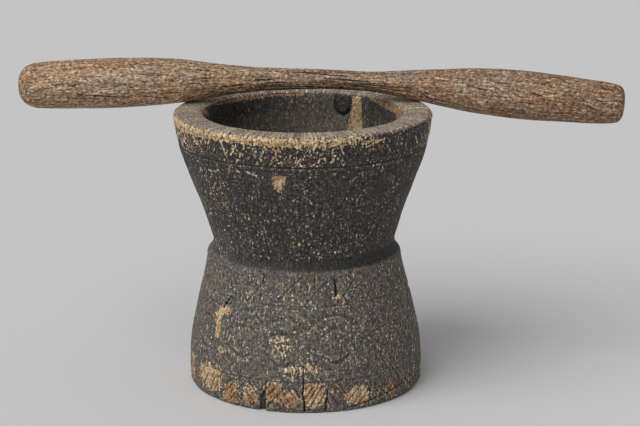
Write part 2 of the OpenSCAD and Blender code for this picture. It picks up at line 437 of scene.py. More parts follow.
spots = [(261, 161, 2.6), (270, 164.5, 2.2), (289, 160, 2.8), (300, 166, 2.4), (296, 166.5, 1.8), (265, 158, 1.8),
         (342, 149, 2.0), (333, 160, 2.2), (344, 165, 2.0), (305, 157, 1.8), (283, 163, 1.8), (275, 166.5, 1.6),
         (200, 168.9, 3.6), (220.7, 188.6, 2.2), (221, 184, 1.4), (299, 245, 3.2), (303, 246.5, 2.0), (339, 251.5, 2.4),
         (263.6, 238, 2.0), (258.5, 232, 1.8), (262, 234.5, 1.4), (267, 238.5, 1.6), (268, 221.5, 1.7), (273, 220, 1.5),
         (279, 219, 2.0), (284.5, 217.5, 1.6), (204, 197, 1.6), (207, 200, 1.8), (210, 203.5, 1.5), (214, 199, 1.3),
         (198, 190, 1.2), (206, 207, 1.4), (215, 241, 2.4), (212.5, 238, 1.8), (218, 243, 1.8), (279, 205, 1.4),
         (262, 201, 1.2), (397, 184, 1.8), (396, 187.5, 1.4), (388, 192, 1.2), (342, 188, 1.0), (230, 216, 1.3),
         (321, 226, 1.0), (309, 233, 1.2), (357, 246, 1.3), (365, 252, 1.3), (289, 250, 1.2), (276, 256, 1.1)]
for x, y, size in spots:
    (a, z), = seen((x, y))
    stroke(fleck, [(a - .15, z - size * .4), (a + .15, z + size * .4)], size * .8, size * .8, 1.0, 0, "soft")
for p in (((207.5, 169.5), (213, 171.5), (217, 171)), ((224, 168), (229.5, 171), (227.5, 175.5)), ((221, 173), (224, 175)),
          ((236, 170.5), (240, 172.5)), ((246, 172), (252, 174.5), (258, 176)), ((262, 176.5), (266, 178)),
          ((232, 176), (236, 177.5)), ((286, 176), (290, 177.5)), ((342, 176.5), (346, 178.5)), ((355, 178), (358.5, 176.5)),
          ((398, 181), (401.5, 177)), ((330, 175.5), (333, 177))):
    stroke(fleck, seen(*p), 1.4, 1.4, 1.0, 2, "soft")
# the rim band away from the front
a = 63.0
k = 0
while a < 298:
    x = (a + 180) % 360 - 180
    lean_to = 1 if k % 2 else -1
    for q in range(3):
        b = x + q * 3.1 + r_.uniform(-.7, .7)
        h0, h1 = r_.uniform(402, 412), r_.uniform(424, 438)
        if r_.rand() < .62:
            run = (h1 - h0) * .22 * lean_to * r_.uniform(.7, 1.2)
            stroke(ridge, wobble([(b, h0), (b + run * .5, (h0 + h1) / 2), (b + run, h1)], .6, 4000 + k * 5 + q),
                   r_.uniform(1.2, 2.2), r_.uniform(1.2, 2.2), r_.uniform(.5, 1.0), 6, "soft")
    a += r_.uniform(8, 11)
    k += 1
# dark hatching under all of it
a = -180.0
k = 0
while a < 180:
    to = 1 if k % 2 else -1
    for q in range(4):
        b = a + q * 2.3 + r_.uniform(-.3, .3)
        h0, h1 = 402 + r_.uniform(0, 5), 438 - r_.uniform(0, 8)
        run = (h1 - h0) * .24 * to
        line(wobble([(b, h0), (b + run * .5, (h0 + h1) / 2), (b + run, h1)], .5, 5000 + k * 5 + q), r_.uniform(2.2, 3.0),
             r_.uniform(.9, 1.7), 6, .6)
    a += 10.0
    k += 1

# ---- upper band of the base: long slanting lines, crossed, with short strokes between
slants = [((272.9, 306), (280, 298), (287.8, 290.2), (302.7, 276.9)), ((303.2, 307.7), (319.1, 289.4), (332.7, 279)),
          ((333.1, 307.7), (347.8, 291), (357.4, 274.2)), ((364.6, 302.1), (370.2, 291), (374.9, 276.6)),
          ((386.5, 293.4), (387.7, 279), (388.5, 268.6)), ((248, 300.1), (261.3, 286), (268.8, 281.1)),
          ((395, 287), (396, 272), (395.5, 258))]
crosses = [((233.9, 285.2), (244.7, 300.1)), ((229.8, 293.3), (236.8, 305)), ((242.2, 285.2), (248.9, 293.5)),
           ((291.1, 295.3), (299.9, 306.5)), ((326.3, 293.4), (332.5, 300)), ((283, 281), (289, 287)),
           ((317, 276.5), (324.5, 285)), ((352, 287), (361, 298)), ((256, 283), (263, 290.5)), ((270, 281), (276.5, 288)),
           ((222, 284), (230, 296)), ((379, 283), (385.5, 291))]
short = [((298.6, 290.2), (304.4, 285.2)), ((303.6, 299.3), (310.2, 293.5)), ((355, 289.4), (359, 283)),
         ((361.4, 294.2), (366.2, 287)), ((371.5, 296), (374.5, 289)), ((378.5, 279), (380.5, 272.5)),
         ((224.8, 294.3), (234.8, 286)), ((305, 281), (309.5, 277)), ((276, 291), (281, 286)), ((265, 297), (270, 292)),
         ((322, 300.5), (327, 295.5)), ((313, 286), (317.5, 281.5)), ((268.5, 301.5), (272.5, 297.5)),
         ((285, 301), (289, 297)), ((214, 290), (219, 281)), ((240, 278), (245, 273.5)), ((381, 292.5), (382.5, 286))]
lozenge = [((270.8, 289), (274.9, 284), (280.4, 289.5), (276, 296), (270.8, 289)),
           ((273.4, 289), (275.4, 286.5), (277.8, 289.5), (275.7, 292.6), (273.4, 289))]
for n, p in enumerate(slants):
    chip(wobble(seen(*p), .3, 1300 + n), 2.2, 1.7, 1.3, .8, 6, False)
for n, p in enumerate(crosses):
    line(wobble(seen(*p), .3, 1320 + n), 2.3, 1.0, 5, .45)
for n, p in enumerate(short + lozenge):
    line(wobble(seen(*p), .25, 1340 + n), 2.1, 1.1, 3, .5)
a = 64.0
k = 0
while a < 262:
    x = (a + 180) % 360 - 180
    rise = r_.uniform(14.5, 17.5)
    z0 = float(upper_line(x)) + 1
    chip(wobble([(x, z0), (x + rise * .5, z0 + 22), (x + rise, 210)], .6, 60 + k), 2.2, 1.6, 1.3, .75, 6, False)
    line(wobble([(x + rise * .95, z0 + 3), (x + rise * .45, z0 + 22), (x + 2, 207)], .7, 90 + k), 2.2, 1.0, 6, .45)
    c, cz = x + rise * .5 + (4.5 if k % 2 else -4.5), z0 + 22
    for g in (4.2, 2.2):
        line([(c - g, cz), (c, cz + g * 2.6), (c + g, cz), (c, cz - g * 2.6), (c - g, cz)], 2.0, .9, 3, .4)
    for j in range(3):
        u, v = x + r_.uniform(3, 13), r_.uniform(173, 200)
        line([(u, v), (u + 2.4, v + 6)], 2.0, 1.0, 3, .45)
    a += r_.uniform(16, 18)
    k += 1

# ---- the frieze: interlaced arches, each over a lens shape, and a branching figure on two sides
eye_a = dict(
    arch=seen((267.1, 328.4), (270.4, 324.4), (275.1, 321.4), (280.4, 319.7), (285.8, 319.1), (291.2, 320.4),
              (296.5, 323.4), (301.9, 327.1), (307.6, 331.1)),
    lid=seen((265.9, 339.5), (270.4, 336.7), (275, 335), (281.8, 334.5), (287.1, 335.8), (292.5, 338), (297.2, 337.8)),
    low=seen((267.7, 357.4), (272.4, 362.8), (277.8, 366.6), (283.8, 367.2), (289.8, 365.3), (295.2, 361.9), (299.9, 357.2)),
    inner=seen((277, 362), (284, 361.2), (290.5, 357.6), (297, 352.6)))
eye_b = dict(
    arch=seen((308.2, 331.1), (312.6, 326.4), (317.3, 322.4), (322, 319.1), (326.7, 317.2), (332, 316.1), (338.7, 315.7),
              (345, 316.8), (350, 319.6), (353.8, 323.6), (355.8, 328)),
    lid=seen((319.6, 339.6), (324, 336.5), (328.7, 332.5), (334, 329.8), (339.4, 329.1), (343.4, 331.2), (349.8, 333.5)),
    low=seen((321, 356), (326, 359), (330, 362), (335.4, 363.7), (340.7, 362.6), (346.1, 358.6), (349.5, 354), (351.5, 348.9)),
    inner=seen((326, 354.5), (332, 357.5), (339, 357.5)))


def cut_eye(eye, by=0.0, jitter=0.0, seed=0, deep=1.0):
    g = lambda key, k: shifted(eye[key], by, jitter, seed * 7 + k)
    chip(g("arch", 1), 7.5, 2.5 * deep, 1.8, .5 * deep, 5, False)
    chip(g("lid", 2), 8.0, 3.0 * deep, 1.9, .75 * deep, 4, True)
    chip(g("low", 3), 7.5, 3.0 * deep, 1.9, .75 * deep, 4, True)
    line(spline(g("inner", 4), 4), 2.2, .7 * deep, 5, .3)


cut_eye(eye_a)
cut_eye(eye_b)
# the eye left of them, worn on its left side
chip(seen((243, 309.5), (249.7, 311.6), (253.9, 315.3), (258.6, 320), (262, 324.5)), 6, 2.2, 1.7, .45, 5, False)
chip(seen((228, 320.5), (232, 314.5), (237.5, 310.5), (243, 309.5)), 4.5, 1.2, 1.6, .25, 5, False)
chip(seen((228.5, 329.5), (234, 326.8), (241, 326), (247.6, 326.8), (252, 329.5), (256.5, 334.6)), 6, 2.0, 1.8, .5, 5, True)
chip(seen((224.6, 341.4), (228.8, 347.4), (233, 352.4), (240.3, 356.6), (246.5, 356), (251.8, 351.6)), 7, 2.8, 1.8, .7, 5, True)
line(seen((255.5, 336.2), (249.7, 342.5)), 2.4, 1.4, 4, .8)
line(spline(seen((243.5, 364.8), (247.5, 365.2), (250.3, 362.6), (252.3, 357.1)), 4), 2.6, 1.6, 5, .8)
# far left
chip(seen((198, 311), (203, 304), (208.5, 300), (213, 300), (217.3, 302.9), (221, 306.4)), 4, 1.5, 1.6, .4, 5, False)
chip(seen((201.5, 318.5), (204.5, 314.5), (207.9, 313.9), (211.5, 317.5), (215.2, 322.6)), 5, 2.0, 1.7, .55, 5, True)
chip(seen((199.8, 331.6), (201.6, 338.8), (204.2, 344.9), (208.4, 346.8), (212.5, 343)), 5, 2.3, 1.7, .65, 5, True)
line(seen((204, 352), (209, 349.5), (216, 345.5), (222, 344)), 2.0, .7, 5, .3)
# small marks under and between the arches
for p in (((329.3, 364.3), (329.7, 373.3)), ((352.1, 364.6), (345.4, 372.6)), ((304, 367.6), (307.5, 363.2), (310.6, 361.9),
          (315.3, 362.6), (318, 367.3)), ((312, 345), (317, 352)), ((303, 349.5), (298.5, 357)), ((353.5, 359), (357, 366))):
    line(spline(seen(*p), 3), 2.3, 1.3, 4, .7)
for n, c in enumerate((86, 112, 138, 164, -170, -106)):
    if n % 2:
        cut_eye(eye_a, c + 10.6, .5, 20 + n, r_.uniform(.8, 1.05))
    else:
        cut_eye(eye_b, c - 15.8, .5, 20 + n, r_.uniform(.8, 1.05))

figure = [(seen(*p), s, d) for p, s, d in (
    (((385.5, 318.6), (386.2, 309.4), (387.4, 301.5)), 4.0, 2.2),
    (((395.2, 315), (395.9, 311), (398.8, 307.4)), 4.0, 2.0),
    (((371.9, 328), (373.4, 324.4), (375.7, 320.9), (379.6, 317.8)), 5.5, 2.2),
    (((361.4, 345.4), (362.7, 341), (365.2, 337.5), (368.6, 336.2), (374.8, 336.6)), 6.0, 2.3),
    (((393, 338.4), (394.3, 332.5), (396, 328.4)), 3.5, 1.8),
    (((396.2, 344.4), (396.6, 340), (398, 336)), 3.0, 1.6),
    (((381.5, 345.6), (384.4, 345), (386.8, 346), (389.2, 349)), 4.0, 1.8),
    (((383.5, 352.2), (386, 350.4), (389, 351)), 2.6, 1.3),
    (((401.9, 346), (403.4, 337.3), (405, 333.5), (406.1, 328.2), (406.6, 320.1), (409, 315.4)), 4.0, 2.4),
    (((404.3, 358.6), (405.5, 352.3), (407, 346)), 2.6, 1.4),
    (((388.5, 331.5), (391.3, 326.6), (395, 324)), 4.0, 1.8),
    (((411, 330), (412, 322), (413, 317)), 2.6, 1.4),
    (((376, 346), (378, 341), (382, 338.6)), 4.0, 1.7))]
lines_too = [(seen(*p), w) for p, w in (
    (((368, 352.6), (370.7, 350.6), (373.6, 349.4)), 2.6), (((377.7, 327.5), (377.7, 331.5)), 3.2),
    (((392.1, 326.5), (391.6, 331)), 2.8), (((357.5, 338), (361, 333.5)), 2.2), (((379, 355), (385, 357.5)), 2.2),
    (((398, 350), (400, 356)), 2.0), (((413, 341), (414.5, 333)), 2.2))]
for by in (0, 184):
    for n, (p, s, d) in enumerate(figure):
        chip(shifted(p, by, .5 if by else 0, 600 + n), s, d, 1.7, .6, 4, n != 8)
    for n, (p, w_) in enumerate(lines_too):
        line(shifted(p, by, .5 if by else 0, 640 + n), w_, 1.5, 3, .8)

# ---- stray knife scratches
for n, p in enumerate((((338, 219), (352, 208), (366, 198)), ((343, 214), (360, 201), (383, 196)), ((346, 216), (362, 203)),
                       ((205, 174), (224, 181), (243, 184)), ((244, 172), (240, 190), (233, 204)),
                       ((316, 222), (324, 236), (331, 249)), ((372, 233), (380, 219), (386, 211)))):
    line(wobble(spline(seen(*p), 4), .4, 700 + n), 1.8, .8, 8, .25)
for k in range(60):
    a, z = r_.uniform(-180, 180), r_.uniform(250, 385)
    h, d = r_.uniform(8, 36), r_.normal() * .5
    line([(a, z), (a + d * h * .3, z - h)], r_.uniform(1.4, 2.0), r_.uniform(.3, .8), 7, .2)


# ---- drying cracks
def split(points, width, depth, seed, drift=.14):
    r = np.random.RandomState(seed)
    pts = []
    for (a0, z0), (a1, z1) in zip(points[:-1], points[1:]):
        n = max(2, int(abs(z1 - z0) / 5))
        for f in np.arange(n) / n:
            pts.append((a0 + (a1 - a0) * f + r.normal() * drift, z0 + (z1 - z0) * f))
    pts.append(points[-1])
    m = len(pts) - 1
    for i in range(m):
        f = 1 - i / m
        w = width * (.45 + .55 * f) / 2 * r.uniform(.8, 1.2)
        stroke(crack, pts[i:i + 2], w, w, depth * (.3 + .7 * f), 0, "u")


for n, (p, w_, d_) in enumerate((
        (((264.4, 410), (265, 396), (265.4, 389), (266, 381.5)), 3.2, 12), (((301.6, 413), (302.6, 395), (303.3, 383), (303, 366.5)), 2.8, 10),
        (((325, 412), (327, 397), (328.9, 383)), 2.8, 10), (((368.6, 406), (370.6, 391), (372, 378)), 2.4, 9),
        (((401, 396), (402, 383), (402.8, 370), (403.6, 360.5)), 2.4, 9))):
    q = seen(*p)
    q[0] = (q[0][0], 0.5)
    split(q, w_, d_, 800 + n)
for n, a in enumerate((-155, -124, -97, -71, 80, 101, 119, 141, 160, 177)):
    split([(a, .5), (a + r_.normal(), r_.uniform(35, 75))], r_.uniform(2.0, 3.2), r_.uniform(6, 11), 820 + n)
for n, (p, w_, d_) in enumerate(((((335.9, 296), (336.3, 287), (334.3, 279.5)), 4.6, 5), (((315, 283), (315.5, 272)), 2.0, 3.5),
                                 (((262.5, 283), (264, 276), (264.4, 268)), 2.2, 3.5), (((260.5, 297), (261, 290)), 1.8, 2.5))):
    split(seen(*p), w_, d_, 850 + n)
for n in range(14):
    a, z = r_.uniform(62, 298), r_.uniform(186, 214)
    split([(a, z - r_.uniform(8, 26)), (a + r_.normal() * .6, z)], r_.uniform(1.8, 3.0), r_.uniform(2, 4), 860 + n)
for n in range(22):
    a, z = r_.uniform(-180, 180), r_.uniform(290, 440)
    split([(a, z - r_.uniform(14, 50)), (a + r_.normal() * .6, z)], r_.uniform(1.4, 2.0), r_.uniform(.8, 1.8), 880 + n)
# pits and lost splinters by the upper band's line, at the left
for x, y, w_, d_ in ((228.6, 299.5, 1.6, 4), (226.3, 303, 1.8, 5), (229.3, 303.8, 1.2, 3), (224, 306.5, 1.4, 3), (231, 297, 1.2, 3)):
    (a, z), = seen((x, y))
    stroke(crack, [(a - .4, z - 1), (a + .4, z + 1)], w_ * 1.3, w_ * 1.3, d_, 0, "u")


# ================================================================ mortar: relief everywhere
def blur(g, rounds):
    for _ in range(rounds):
        g = (np.roll(g, 1, 1) + 2 * g + np.roll(g, -1, 1)) / 4
        e = np.vstack([g[:1], g, g[-1:]])
        g = (e[:-2] + 2 * e[1:-1] + e[2:]) / 4
    return g


def on_mesh(grid):
    v = np.zeros(NV, F32)
    v[GRID] = grid.ravel()
    return v


GR = np.c_[190 * np.sin(PHI), -190 * np.cos(PHI), Z0]      # the wall's grain runs upright
zf = Z0.astype(F32)
outer = on_mesh(np.ones(shape, F32))
inside = (ring_of >= INNER).astype(F32)
cut_v, cut_dirt_and_shade_v, crack_v, ridge_v, fleck_v = (on_mesh(g) for g in (cut, cut_dirt_and_shade, crack, ridge, fleck))

up = outer * (S0 <= CREST)
band_rim = (between(zf, 400.5, 450, 2) * up * (1 - smooth(S0, CREST - 30, CREST - 24))).astype(F32)
band_foot = (between(zf, -5, 50, 2) * up).astype(F32)
band_up = (between(zf, 170, 216, 3) * up).astype(F32)
frieze = (between(zf, 53, 168, 3) * up).astype(F32)
bowl_w = (smooth(zf, 222, 232) * (1 - smooth(zf, 398, 401)) * up).astype(F32)
base_w = (1 - smooth(zf, 219, 226)) * up
rim_out = (between(S0, CREST - 31, CREST - 21, 4) * outer).astype(F32)
rim_top = (smooth(S0, CREST - 23, CREST - 16) * (1 - smooth(S0, CREST + 24, CREST + 30)) * outer).astype(F32)
rim_in = (between(S0, CREST + 27, CREST + 42, 5) * (outer + inside)).astype(F32)
inner_any = np.clip(inside + outer * smooth(S0, CREST + 27, CREST + 31), 0, 1).astype(F32)

PX, PY = project(P0 + np.c_[lean(Z0), np.zeros(NV), np.zeros(NV)])
facing = (np.cos(PHI) > .04) * up + (outer * (S0 > CREST) + inside) * (np.cos(PHI) < .35) + outer * (np.abs(S0 - CREST) < 50)
facing = np.clip(facing, 0, 1).astype(F32)


def spot(px, py, rx, ry, soft=.5, turn=0.0):
    """Weight of the surface seen within an ellipse of the frame."""
    c, s = math.cos(math.radians(turn)), math.sin(math.radians(turn))
    x, y = PX - px, PY - py
    d = np.hypot((c * x + s * y) / rx, (-s * x + c * y) / ry)
    return ((1 - smooth(d, 1 - soft, 1 + soft)) * facing).astype(F32)


def area(corners, soft):
    """Weight of the surface seen within a convex polygon, given clockwise as seen."""
    w = np.ones(NV, F32)
    for (x0, y0), (x1, y1) in zip(corners, corners[1:] + corners[:1]):
        nx, ny = -(y1 - y0), x1 - x0
        d = ((PX - x0) * nx + (PY - y0) * ny) / math.hypot(nx, ny)
        w *= smooth(d, -soft, soft)
    return w * facing


low_shape = fbm(P0, 150, 2, seed=1) * 1.5 + fbm(P0, 48, 2, seed=2) * 1.0
grain1 = fbm(GR, (4.6, 4.6, 30), 3, .6, seed=3)
grain2 = fbm(GR, (2.6, 2.6, 8), 2, .6, seed=4)
speck = fbm(P0, 4.6, 3, .65, seed=5)
fine = fbm(P0, 2.7, 2, .7, seed=6)
patch = fbm(P0, 36, 3, .55, seed=7)
pits = np.clip(fbm(P0, 7.5, 2, .6, seed=13) - .42, 0, 1)

height = low_shape * (1 - .7 * rim_top)
height += grain1 * (.22 + .14 * bowl_w) * outer + grain2 * .22
height += speck * (.20 + .16 * band_rim + .14 * band_foot + .06 * base_w + .1 * rim_top) + fine * .13
height -= pits * 2.2 * (base_w + .7 * bowl_w + band_rim)
height -= band_rim * (.9 - .9 * ridge_v) * (.7 + .5 * speck)
height += ridge_v * .5
height -= cut_v * (1 + .3 * speck) * (1 - .75 * ridge_v)
height -= crack_v * np.clip(1 + .5 * grain2, .5, 1.4)
height -= fleck_v * .5

# chips out of the rim's outer edge and the foot's lower edge, and flaked spots
chips = np.clip(fbm(P0, (15, 15, 9), 3, .6, seed=9) - .12, 0, 1)
by_pestle = np.clip(between(DEG, 60, 118, 8) + between(DEG, -118, -60, 8), 0, 1)
height -= chips * 6.0 * between(S0, CREST - 30, CREST - 17, 5) * outer * (1 - by_pestle)
height -= chips * 9.0 * between(S0, ring_s[UNDER] - 8, ring_s[UNDER] + 7, 4)
flakes = smooth(fbm(P0, (9, 9, 12), 3, .65, seed=10), .50, .60) * bowl_w
height -= flakes * .7
lost = area([(272.3, 176), (285.5, 176.5), (284.8, 186), (281.5, 195), (277.5, 191.5), (272.6, 186.5)], .8)
height -= lost * (1.0 + .4 * speck)
wedge = area([(259.6, 396), (264.6, 390), (265.4, 414), (258.6, 414)], .7)
height -= wedge * 5.5
notch = area([(333.5, 279), (337, 280), (337.6, 296), (334.8, 297)], .8)
height -= notch * 2.0
height += inside * (fbm(P0, (18, 18, 60), 2, seed=12) * .6)
under = ring_of < UNDER
height = np.where(under, -np.abs(speck) * .5, height).astype(F32)

# the knot inside, on the far wall: a low boss in a sunk ring
knot_d = np.hypot((PX - 342.6) / 8.6, (PY - 103.6) / 11.6)
knot_on = (inner_any > 0) & (np.cos(PHI) < 0)
knot = ((1 - smooth(knot_d, .85, 1.05)) * knot_on).astype(F32)
knot_ring = (between(knot_d, .88, 1.02, .14) * knot_on).astype(F32)
height += knot * .8 * np.cos(np.clip(knot_d, 0, 1) * 9) - knot_ring * 2.6

P = P0.copy()
P[:, 0] += NR_ * height * np.sin(PHI)
P[:, 1] -= NR_ * height * np.cos(PHI)
P[:, 2] += NZ_ * height
P[:, 0] += lean(P[:, 2])
P[:, 2] = np.maximum(P[:, 2], 0.0)

# ================================================================ mortar: wear, soot, painted shade and highlight, as masks for the material
hg = height[GRID].reshape(shape)
# bumps and edges lighter, hollows darker in the colour: partly worn edges and dirt, partly painted highlight on edges
# and painted shade in hollows
relief_wear_and_shading = on_mesh(np.clip((hg - blur(hg, 8)) / .42, -1, 1))

away = 1 - between(DEG, -64, 62, 8)
foot_tan = np.zeros(NV, F32)
for x, y, rx, ry, v in ((213, 378, 11, 13, .75), (231, 392, 8, 11, .95), (250, 396, 9, 12, .75), (274, 392, 11, 12, 1.0),
                        (291, 400, 10, 9, .9), (314, 395, 12, 12, 1.1), (336, 390, 8, 8, .45), (357, 395, 13, 10, 1.0),
                        (377, 392, 6, 8, .35), (391, 389, 7, 9, .7), (410, 380, 8, 10, .25), (203, 372, 5, 8, .5)):
    foot_tan = np.maximum(foot_tan, v * spot(x, y, rx, ry, .45))
foot_tan = np.maximum(foot_tan, away * smooth(fbm(GR, (42, 42, 60), 2, seed=31), -.25, .35) * .9) * band_foot

worn = foot_tan * np.clip(1.05 - 1.1 * cut_dirt_and_shade_v, 0, 1)
worn += ridge_v * 1.15
worn += fleck_v * 1.1 + lost * 1.2
strip = rim_out * (.55 + .35 * spot(215, 128, 48, 12, .5) + .25 * spot(300, 138, 60, 5, .5) + .3 * away)
worn += strip * (1 - .75 * spot(400, 128, 40, 18, .4))
tan_side = np.maximum(spot(186, 136, 18, 24, .5), away * .8)
worn += band_rim * (1 - rim_out) * .32 * (.35 + .9 * tan_side) * (1 - cut_dirt_and_shade_v * .6)
worn += band_rim * .25 * spot(300, 152, 45, 16, .5) + band_rim * .3 * spot(376, 143, 14, 6, .5)
worn += bowl_w * (.10 + .12 * spot(215, 200, 26, 36, .6) + .08 * spot(300, 250, 60, 14, .5))
worn += flakes * .55
streak_l = np.zeros(NV, F32)
for x, y in ((221.6, 311), (218.6, 315.7), (217.6, 321.5), (218.3, 327), (217.5, 333.2)):
    streak_l = np.maximum(streak_l, spot(x, y, 2.4, 4.4, .5))
worn += streak_l * .85 + spot(226, 310, 5, 5, .6) * .5 + spot(221.5, 350, 3.5, 4, .6) * .45 + spot(206, 368, 8, 6, .6) * .4
worn += (frieze + band_up) * (.13 + .10 * smooth(patch, -.1, .5))
worn += spot(296, 371, 12, 6, .6) * .35 + spot(312, 368, 7, 5, .6) * .4 + spot(281, 347, 12, 10, .6) * .25
worn += spot(336, 297, 5, 2.5, .5) * .7 + spot(279, 340, 9, 2.5, .5) * .2
worn = np.clip(worn, 0, 1.3)

rust = np.clip(.25 + patch * .9 + .5 * spot(231, 396, 9, 10, .5) + .3 * spot(250, 400, 10, 8, .5) + .3 * spot(300, 150, 30, 12, .5)
               + .6 * spot(378, 142, 16, 8, .5) + .35 * spot(390, 390, 12, 10, .5) + .25 * band_foot - .3 * rim_out, 0, 1)
# darker in cuts and cracks: soot and dirt, with painted shade in them
soot_and_painted_shade = np.clip(cut_dirt_and_shade_v * .9 * (1 - .5 * base_w * (1 - band_foot)) + smooth(crack_v, .4, 2.2), 0, 1)
# a band at the neck under the bowl's overhang: soot in the groove and painted shadow of the bowl, faint on the lit left
# side and strongest on the right
neck_soot_and_painted_shadow = between(zf, 223, 236, 6) * up * (1 - .8 * between(DEG, -150, -64, 16)) * (.75 + .25 * between(DEG, 18, 120, 30))
soot_and_painted_shade = np.maximum(soot_and_painted_shade, neck_soot_and_painted_shadow * .8)
soot_and_painted_shade = np.maximum(soot_and_painted_shade, wedge * .75)
soot_and_painted_shade = np.maximum(soot_and_painted_shade, notch * .55)
soot_and_painted_shade = np.clip(np.maximum(soot_and_painted_shade, pits * 1.5), 0, 1)
tone = np.clip(base_w + .35 * between(DEG, -150, -50, 20) * between(zf, 215, 262, 14), 0, 1).astype(F32)

# the top of the rim, and the inside
pale = rim_top * .95
tan_in = area([(354.3, 88), (360.9, 88), (362.8, 131), (347.0, 131)], .7) * inner_any
rust_in = area([(366.5, 88), (398, 88), (405, 118), (400.5, 116), (373.5, 102), (368.2, 95)], 1.4)
rust_in += area([(205, 88), (252, 88), (252, 99.3), (228, 103.4), (209, 106.3)], 1.2)
rust_in += area([(250, 88), (277, 88), (277, 95.4), (250, 99.6)], 1.2) + area([(275, 88), (306, 88), (304, 95.6), (275, 95.4)], 1.2)
rust_in = np.clip(rust_in, 0, 1) * inner_any
hidden_edge = rim_in * smooth(fbm(P0, 34, 2, seed=33), -.35, .25) * (np.cos(PHI) > -.2)
rust_in = np.clip(rust_in + hidden_edge * .8, 0, 1)
dust = inner_any * (1 - smooth(zf, 262, 345))
dust = np.clip(dust + inner_any * .75 * spot(300, 122, 62, 16, .6) + inner_any * .35 * spot(330, 112, 40, 24, .6), 0, 1)
# darker inside: the dark knot and the sunk ring round it, and painted shade on the inner wall at the left
knot_dark_and_painted_shade = np.clip(inner_any * spot(215, 112, 26, 16, .7) + knot * .8 + knot_ring, 0, 1)

# ================================================================ mortar: faces and map
faces, sizes, uvs = [], [], []
S_OUT0, S_OUT1, S_IN1 = ring_s[UNDER], ring_s[INNER - 1], ring_s[PIT - 1]


def uv_outer(i, j, n):
    v = .566 + .432 * (ring_s[i] - S_OUT0) / (S_OUT1 - S_OUT0)
    return np.stack([np.asarray(j, float) / n * .998 + .001, np.full(len(j), v)], -1)


def uv_inner(i, j, n):
    v = .285 + .275 * (ring_s[i] - S_OUT1) / (S_IN1 - S_OUT1)
    return np.stack([np.asarray(j, float) / n * .998 + .001, np.full(len(j), v)], -1)


def uv_disc(i, j, n):
    a = np.asarray(j, float) / n * 2 * np.pi - np.pi
    c, k = ((.14, .14), .135 / 187) if i <= UNDER else ((.36, .07), .062 / 62)
    r = ring_rz[i, 0]
    return np.stack([c[0] + k * r * np.sin(a), c[1] - k * r * np.cos(a)], -1)


for i in range(len(rings) - 1):
    n0, n1 = int(ring_n[i]), int(ring_n[i + 1])
    a0, b0 = ring_start[i], ring_start[i + 1]
    f = uv_disc if i < UNDER else uv_outer if i < INNER - 1 else uv_inner if i < PIT - 1 else uv_disc
    j = np.arange(max(n0, n1) if 1 in (n0, n1) else min(n0, n1))
    if n0 == n1:
        k = j + 1
        add = [(np.stack([a0 + j, a0 + k % n0, b0 + k % n0, b0 + j], 1),
                [f(i, j, n0), f(i, k, n0), f(i + 1, k, n0), f(i + 1, j, n0)])]
    elif n0 == 1:
        add = [(np.stack([np.full(n1, a0), b0 + (j + 1) % n1, b0 + j], 1),
                [f(i, j, n1), f(i + 1, j + 1, n1), f(i + 1, j, n1)])]
    elif n1 == 1:
        add = [(np.stack([a0 + j, a0 + (j + 1) % n0, np.full(n0, b0)], 1),
                [f(i, j, n0), f(i, j + 1, n0), f(i + 1, j, n0)])]
    elif n1 == 2 * n0:
        add = [(np.stack([a0 + j, b0 + 2 * j + 1, b0 + 2 * j], 1),
                [f(i, j, n0), f(i + 1, 2 * j + 1, n1), f(i + 1, 2 * j, n1)]),
               (np.stack([a0 + j, a0 + (j + 1) % n0, b0 + (2 * j + 2) % n1, b0 + 2 * j + 1], 1),
                [f(i, j, n0), f(i, j + 1, n0), f(i + 1, 2 * j + 2, n1), f(i + 1, 2 * j + 1, n1)])]
    else:
        add = [(np.stack([a0 + 2 * j, a0 + 2 * j + 1, b0 + j], 1),
                [f(i, 2 * j, n0), f(i, 2 * j + 1, n0), f(i + 1, j, n1)]),
               (np.stack([a0 + 2 * j + 1, a0 + (2 * j + 2) % n0, b0 + (j + 1) % n1, b0 + j], 1),
                [f(i, 2 * j + 1, n0), f(i, 2 * j + 2, n0), f(i + 1, j + 1, n1), f(i + 1, j, n1)])]
    for block, uv in add:
        faces.append(block.ravel())
        sizes.append(np.full(len(block), block.shape[1]))
        uvs.append(np.stack(uv, 1).reshape(-1, 2))

mortar = make_mesh("mortar_carved", P / 1000, np.concatenate(faces), np.concatenate(sizes), np.concatenate(uvs),
                   {"worn": worn, "rust": rust, "soot_and_painted_shade": soot_and_painted_shade, "tone": tone, "relief_wear_and_shading": relief_wear_and_shading, "pale": pale,
                    "inside": inner_any, "tan_in": tan_in, "rust_in": rust_in, "dust": dust, "knot_dark_and_painted_shade": knot_dark_and_painted_shade,
                    "grain": GR / 1000})
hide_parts("mortar")
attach(mortar, "mortar")

# ================================================================ pestle
PL, PLEFT, PBACK = 985.0, 463.0, 67.0
PCURVE = np.array([[0, 15], [3, 22], [8, 28], [15, 32.5], [26, 36], [45, 37.5], [75, 38.7], [120, 40.2], [160, 40.6],
                   [200, 39.2], [225, 38], [245, 37], [270, 35], [295, 31.5], [330, 26], [360, 22.2], [395, 18.9],
                   [440, 17], [490, 16], [545, 15.8], [572, 16], [595, 18], [616, 21], [640, 24], [660, 26.4],
                   [680, 29.2], [700, 31.5], [725, 34.6], [750, 36.7], [780, 38.6], [815, 40], [845, 39.8],
                   [880, 38.4], [920, 36.4], [950, 34.6], [970, 32.4], [979, 30], [983, 26.5], [985, 22]])
PN = 208
u_side = np.linspace(0.0, PL, 822)
end_a = [(0.0, f) for f in (0.004, .2, .4, .6, .8)]
end_b = [(PL, f) for f in (.85, .65, .45, .25, 0.004)]
p_rows = end_a + [(u, 1.0) for u in u_side] + end_b
pu = np.array([u for u, f in p_rows])
pf = np.array([f for u, f in p_rows])
pr = np.interp(pu, PCURVE[:, 0], PCURVE[:, 1])
